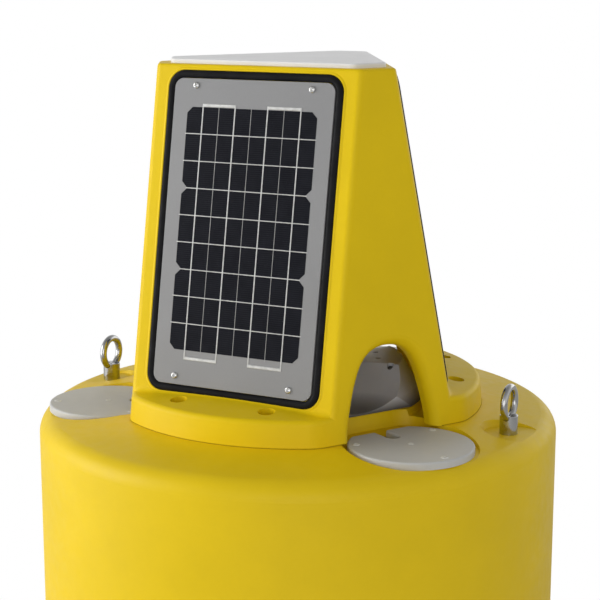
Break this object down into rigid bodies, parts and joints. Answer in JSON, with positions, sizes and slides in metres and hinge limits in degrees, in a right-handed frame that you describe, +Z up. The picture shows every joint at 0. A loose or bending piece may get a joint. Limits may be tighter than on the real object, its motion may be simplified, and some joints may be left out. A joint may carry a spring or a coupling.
{
  "type": "data buoy",
  "caption": "Yellow data buoy: a round foam hull with a three-sided tower of solar plates, arched cable ports with covers, and lifting eyes.",
  "frame": {"origin": "centre of the hull's flat bottom", "axes": "+Z up; -Y out of the front solar plate; +X towards the right lifting eye"},
  "size_m": [0.8, 0.8, 0.978],
  "materials": {
    "hull_yellow": "satin",
    "tower_yellow": "satin",
    "stainless": "satin",
    "lid_grey": "matte",
    "top_white": "satin",
    "tube_grey": "matte",
    "plate_grey": "satin",
    "frame_rubber": "matte",
    "cover_grey": "satin"
  },
  "bodies": {
    "buoy": {"hull": "hull_yellow", "tower": "tower_yellow", "tower_bolts": "stainless", "well_lid": "lid_grey", "top_lid": "top_white", "pass_tubes": "tube_grey", "solar_plate_front": "plate_grey", "solar_plate_right": "plate_grey", "solar_plate_left": "plate_grey", "plate_frame_front": "frame_rubber", "plate_frame_right": "frame_rubber", "plate_frame_left": "frame_rubber", "lifting_eye_right": "stainless", "lifting_eye_left": "stainless", "mooring_eye_right": "stainless", "mooring_eye_left": "stainless"},
    "cover_right": {"port_cover_right": "cover_grey"},
    "cover_back": {"port_cover_back": "cover_grey"},
    "cover_left": {"port_cover_left": "cover_grey"}
  },
  "joints": [
    {"name": "port_cover_right_lift", "type": "slide", "parent": "buoy", "child": "cover_right", "axis": [0.6124, -0.3536, 0.7071], "range_m": [0, 0.25]},
    {"name": "port_cover_back_lift", "type": "slide", "parent": "buoy", "child": "cover_back", "axis": [0, 0.7071, 0.7071], "range_m": [0, 0.25]},
    {"name": "port_cover_left_lift", "type": "slide", "parent": "buoy", "child": "cover_left", "axis": [-0.6124, -0.3536, 0.7071], "range_m": [0, 0.25]}
  ]
}
